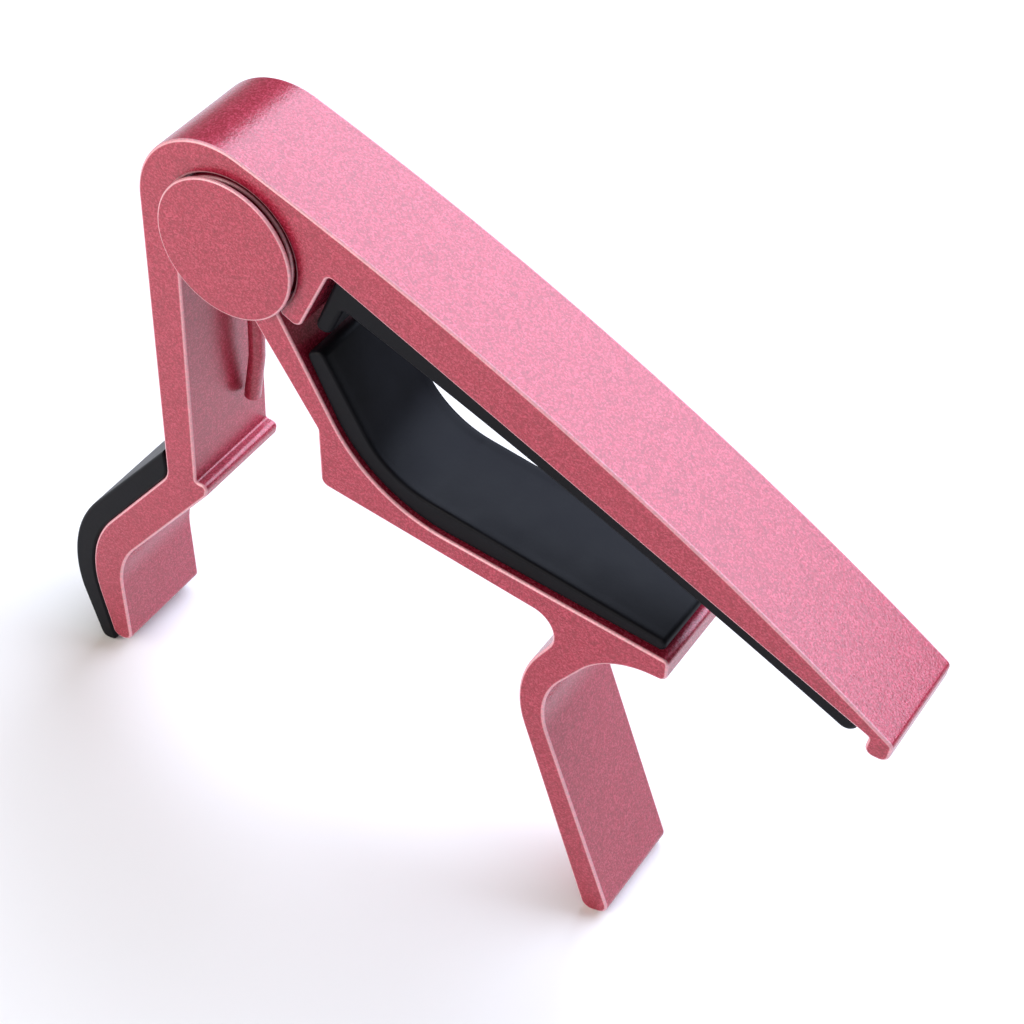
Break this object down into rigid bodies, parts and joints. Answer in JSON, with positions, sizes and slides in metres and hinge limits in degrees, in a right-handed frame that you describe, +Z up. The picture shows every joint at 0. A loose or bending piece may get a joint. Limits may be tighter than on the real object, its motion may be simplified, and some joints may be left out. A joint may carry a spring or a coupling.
{
  "type": "guitar capo",
  "caption": "Spring-loaded trigger capo with a padded bar, a padded jaw on a hinge and two squeeze handles, metallic pink with black rubber.",
  "frame": {"origin": "middle of the bounding box on the surface that the two handle tips stand on", "axes": "+Z up, +X from the hinge towards the free end of the bar, +Y along the hinge axis"},
  "size_m": [0.0914, 0.0142, 0.0745],
  "materials": {
    "pink_metal": "metallic sparkle coat, satin",
    "black_rubber": "smooth, satin",
    "pin_steel": "ground"
  },
  "bodies": {
    "arm": {"top_arm": "pink_metal", "string_pad": "black_rubber", "handle_grip": "black_rubber", "torsion_spring": "pink_metal"},
    "jaw": {"lower_jaw": "pink_metal", "neck_pad": "black_rubber", "hinge_pin": "pin_steel", "cap_washer_left": "pin_steel", "cap_washer_right": "pin_steel", "pivot_cap_left": "pink_metal", "pivot_cap_right": "pink_metal"}
  },
  "joints": [
    {"name": "jaw_hinge", "type": "hinge", "parent": "arm", "child": "jaw", "pos_m": [-0.02483, 0, 0.06447], "axis": [0, 1, 0], "range_deg": [0, 27], "stiffness_Nm_per_rad": 0.8, "springref_deg": -51.57, "deforming": ["torsion_spring"]}
  ]
}
